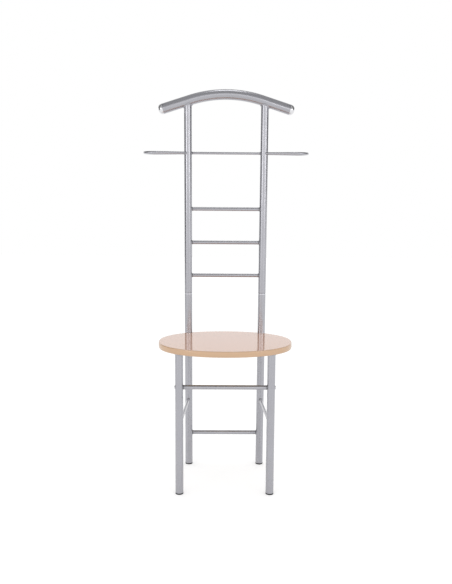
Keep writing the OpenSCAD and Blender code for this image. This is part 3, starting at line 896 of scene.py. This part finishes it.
class Recipe:
    """A material under construction: its colour, its nodes and its shader."""

    def __init__(self, name, colour, settings):
        self.colour = tuple(colour)
        self.material = bpy.data.materials.new(name)
        self.material.use_nodes = True
        self.tree = self.material.node_tree
        self.place = self.made("TexCoord", {}, "Object")
        for socket, value in settings.items():
            self.into(value, socket.replace("_", " "))

    def made(self, kind, inputs, output, **settings):
        """One output of a new node."""
        return added(self.tree, kind, inputs, **settings).outputs[output]

    def into(self, value, socket):
        """Sets or links one of the shader's sockets."""
        put(value, self.tree.nodes["Principled BSDF"].inputs[socket])

    def tint(self, factor):
        """The colour made lighter or darker, with full alpha."""
        return tuple(min(1.0, c * factor) for c in self.colour) + (1.0,)

    def pattern(self, kind, output, scale, stretch, **inputs):
        """A pattern on the object coordinates, stretched on each axis."""
        place = self.made("Mapping", {"Vector": self.place, "Scale": stretch}, "Vector")
        return self.made(kind, {"Vector": place, "Scale": scale, **inputs}, output)

    def noise(self, scale, detail=2, rough=0.5, stretch=(1, 1, 1), twist=0):
        """A cloud pattern from 0 to 1."""
        return self.pattern("TexNoise", "Fac", scale, stretch, Detail=detail, Roughness=rough,
                            Distortion=twist)

    def cells(self, scale, stretch=(1, 1, 1)):
        """Distance to the nearest of many scattered points."""
        return self.pattern("TexVoronoi", "Distance", scale, stretch)

    def own(self, name):
        """Nine tenths of a number that the piece's own mesh carries, 0 where it has none."""
        number = self.made("Attribute", {}, "Fac", attribute_name=name)
        return self.made("Math", {0: number, 1: 0.9}, 0, operation="MULTIPLY")

    def ranged(self, value, low, high, new_low=0, new_high=1):
        """A value moved from one range to another and held inside it."""
        inputs = {"Value": value, "From Min": low, "From Max": high, "To Min": new_low, "To Max": new_high}
        return self.made("MapRange", inputs, "Result")

    def coloured(self, share, first, second, *layers):
        """The shader's colour: two tints mixed by a share, and over them each layer of (share, tint)."""
        mix = self.made("Mix", {0: share, 6: self.tint(first), 7: self.tint(second)}, 2, data_type="RGBA")
        for share, factor in layers:
            mix = self.made("Mix", {0: share, 6: mix, 7: self.tint(factor)}, 2, data_type="RGBA")
        self.into(mix, "Base Color")

    def roughened(self, pattern, low, high):
        """The shader's roughness: from low to high as a pattern goes from 0.3 to 0.7."""
        self.into(self.ranged(pattern, 0.3, 0.7, low, high), "Roughness")

    def bumped(self, *bumps, socket="Normal"):
        """The shader's bump: each of (height pattern, strength, distance) laid over the one before."""
        under = {}
        for height, strength, distance in bumps:
            inputs = {"Height": height, "Strength": strength, "Distance": distance, **under}
            under = {"Normal": self.made("Bump", inputs, "Normal")}
        self.into(under["Normal"], socket)


def finish(name, colour, **settings):
    """Turns a function that fills a recipe into one that gives its material, which is built the first time
    it is asked for, from one of the scene's colours and settings for the shader."""

    def wrap(fill):
        def material():
            if name not in bpy.data.materials:
                fill(Recipe(name, getattr(bpy.context.scene.valet_finishes, colour), settings))
            return bpy.data.materials[name]

        return material

    return wrap


@finish("satin_silver", "steel", Metallic=1, Coat_Weight=1, Coat_Roughness=0.13, Coat_IOR=1.6)
def steel_finish(recipe):
    """Satin silver: fine metal flake under a thin clear layer, with faint clouds, painted contact shade
    at the welded ends and over the joints, and a painted highlight on the rear legs' top rims."""
    rough = bpy.context.scene.valet_finishes.steel_rough
    recipe.into(rough, "Roughness")
    clouds = recipe.ranged(recipe.noise(14, 4, 0.6), 0.35, 0.65)
    flake = recipe.ranged(recipe.cells(2600), 0.1, 0.5, 0, 0.08)
    # The first number darkens the colour as painted contact shade at rod ends and joints; the second
    # lightens a rear leg's top rim as a painted highlight.
    seam, wear = recipe.own("seam"), recipe.own("wear")
    recipe.coloured(clouds, 0.975, 1.02, (flake, 0.82), (seam, 0.16), (wear, 1.8))
    recipe.roughened(recipe.noise(55, 3, 0.6), rough - 0.03, rough + 0.045)
    recipe.bumped((recipe.noise(1900), 0.04, 0.0002), (recipe.noise(120, 3), 0.012, 0.001))


@finish("bright_plating", "chrome", Metallic=1, Roughness=0.07)
def chrome_finish(recipe):
    """Bright plating with faint polishing haze."""
    haze = recipe.noise(160, 4, 0.6)
    recipe.coloured(recipe.ranged(haze, 0.3, 0.7), 0.97, 1)
    recipe.roughened(haze, 0.05, 0.11)
    recipe.bumped((recipe.noise(420), 0.02, 0.0003))


@finish("plain_zinc", "zinc", Metallic=1, Roughness=0.38)
def zinc_finish(recipe):
    """Plain zinc: crystal patches of slightly different grey."""
    recipe.coloured(recipe.ranged(recipe.cells(700), 0.1, 0.6), 0.88, 1.08)
    recipe.roughened(recipe.noise(300, 3), 0.30, 0.46)
    recipe.bumped((recipe.noise(900), 0.05, 0.0002))


@finish("gloss_laminate", "laminate", Roughness=0.24, Coat_Weight=1, Coat_Roughness=0.015, IOR=1.25,
        Coat_IOR=1.64)
def laminate_finish(recipe):
    """High-gloss beech laminate: long soft grain and short dark flecks under a clear coat."""
    grain = recipe.ranged(recipe.noise(1, 5, 0.55, (150, 9, 40), 0.6), 0.32, 0.68)
    tone = recipe.noise(1, 2, 0.5, (14, 3, 4))
    fleck = recipe.ranged(recipe.cells(1, (620, 120, 300)), 0.06, 0.24, 0.04, 0)
    recipe.coloured(grain, 0.985, 1.015, (recipe.ranged(tone, 0.35, 0.65, 0, 0.35), 1.04), (fleck, 0.78))
    recipe.roughened(tone, 0.15, 0.19)
    recipe.bumped((recipe.noise(45), 0.004, 0.001), socket="Coat Normal")


@finish("beech_edging", "band", Roughness=0.34, Coat_Weight=0.9, Coat_Roughness=0.10)
def band_finish(recipe):
    """Beech edging: grain lines that run round the edge, with fine flecks, a satin lacquer and painted
    shade along the small groove at the laminate."""
    grain = recipe.noise(1, 5, 0.6, (16, 16, 620), 0.4)
    fleck = recipe.ranged(recipe.cells(1, (130, 130, 900)), 0.08, 0.3, 0.25, 0)
    height = recipe.made("SeparateXYZ", {0: recipe.place}, Z)
    # Painted shade: the band darkens from 2.6 mm under the seat's top upwards, standing in for the shadow
    # in the groove at the laminate.
    groove_shade_low, groove_shade_high = SEAT_TOP - 0.0026, SEAT_TOP - 0.0012
    line = recipe.ranged(height, groove_shade_low, groove_shade_high, 0, 0.55)
    recipe.coloured(recipe.ranged(grain, 0.3, 0.7), 0.93, 1.06, (fleck, 0.72), (line, 0.68))
    recipe.roughened(grain, 0.30, 0.44)
    recipe.bumped((grain, 0.05, 0.0004))


@finish("sanded_beech", "board", Roughness=0.5, Coat_Weight=0.1, Coat_Roughness=0.3)
def board_finish(recipe):
    """Sanded, lacquered board: broad grain figure with pores."""
    figure = recipe.ranged(recipe.noise(1, 4, 0.55, (38, 5, 20), 1.2), 0.3, 0.7)
    grain = recipe.noise(1, 5, 0.6, (420, 22, 120))
    recipe.coloured(figure, 0.84, 1.1, (recipe.ranged(grain, 0.4, 0.72, 0, 0.4), 0.66))
    recipe.roughened(grain, 0.42, 0.6)
    recipe.bumped((grain, 0.12, 0.0005))


@finish("black_moulded", "plastic", Roughness=0.48)
def plastic_finish(recipe):
    """Black moulded plastic with a fine texture, scuffed in patches."""
    scuff = recipe.noise(240, 4, 0.65)
    recipe.coloured(recipe.ranged(scuff, 0.5, 0.75, 0, 0.5), 1, 2.2)
    recipe.roughened(scuff, 0.40, 0.6)
    recipe.bumped((recipe.noise(1500), 0.15, 0.0003))


# ---- stage

BACKGROUND_RAYS = ("Is Camera Ray", "Is Glossy Ray", "Is Transmission Ray")  # they show the background
CAMERA_GLOW = 0.46  # what is added to the floor's own light where the camera sees it
MIRROR_GLOW = 0.255  # and where a glossy or clear surface shows it
WHITE, FLOOR_GREY = (1, 1, 1, 1), (0.72, 0.72, 0.72, 1)
FLOOR_HALF, FLOOR_CELLS, FLOOR_DROP = 7.0, 8, 0.0002
CARD_R, CARD_STEPS = 3.6, (25, 13)
CARDS = (  # name, angles from straight behind, height angles, and whose level it has
    ("card_left", (-104, -58), (3, 70), "card_level"),
    ("card_right", (58, 104), (14, 70), "card_level"),
    ("card_back", (-58, 58), (26, 70), "roof_level"),
    ("card_front", (104, 256), (38, 70), "roof_level"),
    ("card_roof", (-180, 180), (70, 90), "roof_level"),
)
LAMP_AIM = (0, 0, 1)
LAMPS = (  # name, place, width and height
    ("key", (4.25, -4.25, 1.35), (1.25, 1.2)),
    ("fill", (-4.25, -4.25, 1.35), (1.25, 1.2)),
    ("rim", (0.05, 0.35, 3.1), (0.6, 0.9)),
    ("front", (1.05, -5.9, 1.7), (0.85, 0.7)),
)


def background_level(tree, levels):
    """A level for each kind of ray that shows the background, and 0 for all others."""
    rays, total = added(tree, "LightPath", {}), 0.0
    for ray, level in zip(BACKGROUND_RAYS, levels):
        inputs = {0: rays.outputs[ray], 1: level, 2: total}
        total = added(tree, "Math", inputs, operation="MULTIPLY_ADD").outputs[0]
    return total


def make_world(stage):
    """Even room light, and a white background for the rays that show it."""
    world = bpy.data.worlds.new("studio_room")
    bpy.context.scene.world = world
    world.use_nodes = True
    tree = world.node_tree
    room = tree.nodes["Background"]
    put(WHITE, room.inputs["Color"])
    put(stage.world_level, room.inputs["Strength"])
    white = added(tree, "Background", {"Color": WHITE, "Strength": 1})
    share = background_level(tree, (1, 1, 1))
    blend = added(tree, "MixShader", {0: share, 1: room.outputs[0], 2: white.outputs[0]})
    put(blend.outputs[0], tree.nodes["World Output"].inputs["Surface"])


def make_sheet(name, points, material_name):
    """A sheet from a grid of points, whose material has no shader yet, with the material's nodes and the
    socket for that shader."""
    material = bpy.data.materials.new(material_name)
    material.use_nodes = True
    tree = material.node_tree
    tree.nodes.remove(tree.nodes["Principled BSDF"])
    mesh = bpy.data.meshes.new(name)
    mesh.from_pydata(points.reshape(-1, 3).tolist(), [], quads(*points.shape[:2], False, False).tolist())
    mesh.materials.append(material)
    return placed(name, mesh), tree, tree.nodes["Material Output"].inputs["Surface"]


def make_floor():
    """A level floor sheet, white for the rays that show the background, and still shaded by the chair."""
    line = np.linspace(-FLOOR_HALF, FLOOR_HALF, FLOOR_CELLS + 1)
    points = np.stack(np.meshgrid(line, line, -FLOOR_DROP), -1)[:, :, 0]
    floor, tree, surface = make_sheet("studio_floor", points, "pale_floor")
    matt = added(tree, "BsdfDiffuse", {"Color": FLOOR_GREY})
    level = background_level(tree, (CAMERA_GLOW, MIRROR_GLOW, MIRROR_GLOW))
    glow = added(tree, "Emission", {"Strength": level})
    put(added(tree, "AddShader", {0: matt.outputs[0], 1: glow.outputs[0]}).outputs[0], surface)


def make_cards(stage):
    """Grey cards round the chair, as a studio puts beside polished metal: dark walls to both sides of the
    clear backdrop, paler ones over it and over the front, and a roof, point = R (sin a cos e, cos a cos e,
    sin e) with a the angle from straight behind and e the height angle. Only reflections show them."""
    for name, turns, heights, level in CARDS:
        steps = [np.linspace(*ends, count) for ends, count in zip((turns, heights), CARD_STEPS)]
        a, e = np.radians(np.meshgrid(*steps, indexing="ij"))
        points = CARD_R * np.stack([np.sin(a) * np.cos(e), np.cos(a) * np.cos(e), np.sin(e)], -1)
        card, tree, surface = make_sheet(name, points, "grey_" + name)
        put(added(tree, "Emission", {"Strength": getattr(stage, level)}).outputs[0], surface)
        card.visible_camera = card.visible_diffuse = card.visible_shadow = False
        card.visible_transmission = card.visible_volume_scatter = False


def make_lamps(stage):
    """Soft rectangular lamps that face the chair's upper part."""
    for name, place, size in LAMPS:
        lamp = bpy.data.lights.new(name, "AREA")
        lamp.shape = "RECTANGLE"
        lamp.size, lamp.size_y = size
        lamp.energy = getattr(stage, name + "_power")
        holder = placed(name, lamp)
        holder.location = place
        holder.rotation_euler = (Vector(LAMP_AIM) - Vector(place)).to_track_quat("-Z", "Y").to_euler()


def make_camera(stage):
    """The photograph's view: pitched down, with a slight roll and the frame shifted up."""
    data = bpy.data.cameras.new("view")
    data.sensor_width = 36
    data.lens = stage.lens
    data.shift_y = stage.shift_y
    camera = placed("view", data)
    turn = Matrix.Rotation(-stage.pan, 4, "Z") @ Matrix.Rotation(math.pi / 2 - stage.pitch, 4, "X")
    camera.matrix_world = Matrix.Translation(stage.camera) @ turn @ Matrix.Rotation(stage.roll, 4, "Z")
    bpy.context.scene.camera = camera


# ---- operators and panel


class VALET_OT_hanger(bpy.types.Operator):
    """Make the shoulder hanger and its two plated caps"""

    bl_idname = "valet.hanger"
    bl_label = "Hanger"

    def execute(self, context):
        make_hanger()
        for name, side in SIDES:
            make_hanger_cap(name, side)
        return {"FINISHED"}


class VALET_OT_uprights(bpy.types.Operator):
    """Make both uprights, with their welds under the hanger"""

    bl_idname = "valet.uprights"
    bl_label = "Uprights"

    def execute(self, context):
        for name, side in SIDES:
            make_upright(name, side)
        return {"FINISHED"}


class VALET_OT_sleeves(bpy.types.Operator):
    """Give the sleeves inside the joints their zinc finish"""

    bl_idname = "valet.sleeves"
    bl_label = "Joint sleeves"

    def execute(self, context):
        for name, _ in SIDES:
            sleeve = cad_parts["spigot_" + name]
            sleeve.data.materials.clear()
            sleeve.data.materials.append(zinc_finish())
        return {"FINISHED"}


class VALET_OT_rail(bpy.types.Operator):
    """Make the trouser rail and its side loops"""

    bl_idname = "valet.rail"
    bl_label = "Trouser rail and loops"

    def execute(self, context):
        make_cross_bar("trouser_rail_rod", "trouser_rail", RAIL_Z, ROD_R, 0, count=ROD_SIDES)
        for name, side in SIDES:
            make_rail_loop(name, side)
        return {"FINISHED"}


class VALET_OT_rungs(bpy.types.Operator):
    """Make the rungs between the uprights"""

    bl_idname = "valet.rungs"
    bl_label = "Rungs"

    def execute(self, context):
        for name in ("rung_lower", "rung_middle", "rung_upper"):
            make_cross_bar(name + "_tube", name, middle(name, Z), RUNG_R, sizes().rung_wall)
        return {"FINISHED"}


class VALET_OT_legs(bpy.types.Operator):
    """Make the four legs and their feet"""

    bl_idname = "valet.legs"
    bl_label = "Legs and feet"

    def execute(self, context):
        for name, side in SIDES:
            for kind, raked in (("rear", False), ("front", True)):
                make_leg(kind, name, side, raked)
                make_foot(kind, name, side, raked)
        return {"FINISHED"}


class VALET_OT_bars(bpy.types.Operator):
    """Make the front bar with its bolts, the rear bar and the side stretchers"""

    bl_idname = "valet.bars"
    bl_label = "Bars and stretchers"

    def execute(self, context):
        # The front bar is bolted from outside, so it has no bead.
        make_cross_bar("front_bar_rod", "front_bar", FRONT_BAR_Z, BAR_R, 0, FOOT_X, FRONT_BAR_Y, raked=True,
                       welded=False)
        make_front_bar_bolts()
        make_front_bar_washers()
        make_cross_bar("rear_bar_tube", "rear_bar", REAR_BAR_Z, BAR_R, sizes().rung_wall)
        for name, side in SIDES:
            make_stretcher(name, side)
        return {"FINISHED"}


class VALET_OT_seat(bpy.types.Operator):
    """Make the seat's board, laminate and edge band"""

    bl_idname = "valet.seat"
    bl_label = "Seat"

    def execute(self, context):
        make_seat_board()
        make_seat_laminate()
        make_seat_band()
        return {"FINISHED"}


class VALET_OT_bearers(bpy.types.Operator):
    """Make the bearers under the seat and their screws"""

    bl_idname = "valet.bearers"
    bl_label = "Bearers and screws"

    def execute(self, context):
        for name, side in SIDES:
            make_bearer(name, side)
        make_seat_screws()
        return {"FINISHED"}


class VALET_OT_stage(bpy.types.Operator):
    """Make the floor, the cards, the room light, the lamps and the camera"""

    bl_idname = "valet.stage"
    bl_label = "Stage"

    def execute(self, context):
        stage = context.scene.valet_stage
        context.scene.view_settings.view_transform = "Standard"
        make_world(stage)
        make_floor()
        make_cards(stage)
        make_lamps(stage)
        make_camera(stage)
        return {"FINISHED"}


class VALET_PT_parts(bpy.types.Panel):
    """Lists the steps that build the chair, and its sizes, finishes and stage"""

    bl_label = "Clothes valet chair"
    bl_idname = "VALET_PT_parts"
    bl_space_type = "VIEW_3D"
    bl_region_type = "UI"
    bl_category = "Valet"

    def draw(self, context):
        for step in STEPS:
            self.layout.operator(step.bl_idname)
        for group in GROUPS:
            box = self.layout.box()
            values = getattr(context.scene, group)
            for name in values.__annotations__:
                box.prop(values, name)


GROUPS = {"valet_sizes": ValetSizes, "valet_finishes": ValetFinishes, "valet_stage": ValetStage}
STEPS = (VALET_OT_hanger, VALET_OT_uprights, VALET_OT_sleeves, VALET_OT_rail, VALET_OT_rungs,
         VALET_OT_legs, VALET_OT_bars, VALET_OT_seat, VALET_OT_bearers, VALET_OT_stage)
CLASSES = (*GROUPS.values(), *STEPS, VALET_PT_parts)


def register():
    """Registers the classes and ties the property groups to the scene."""
    for cls in CLASSES:
        bpy.utils.register_class(cls)
    for name, group in GROUPS.items():
        setattr(bpy.types.Scene, name, PointerProperty(type=group))


def unregister():
    """Removes what register added."""
    for name in GROUPS:
        delattr(bpy.types.Scene, name)
    for cls in reversed(CLASSES):
        bpy.utils.unregister_class(cls)


def main():
    register()
    for step in STEPS:
        group, name = step.bl_idname.split(".")
        getattr(getattr(bpy.ops, group), name)()


if __name__ == "__main__":
    main()
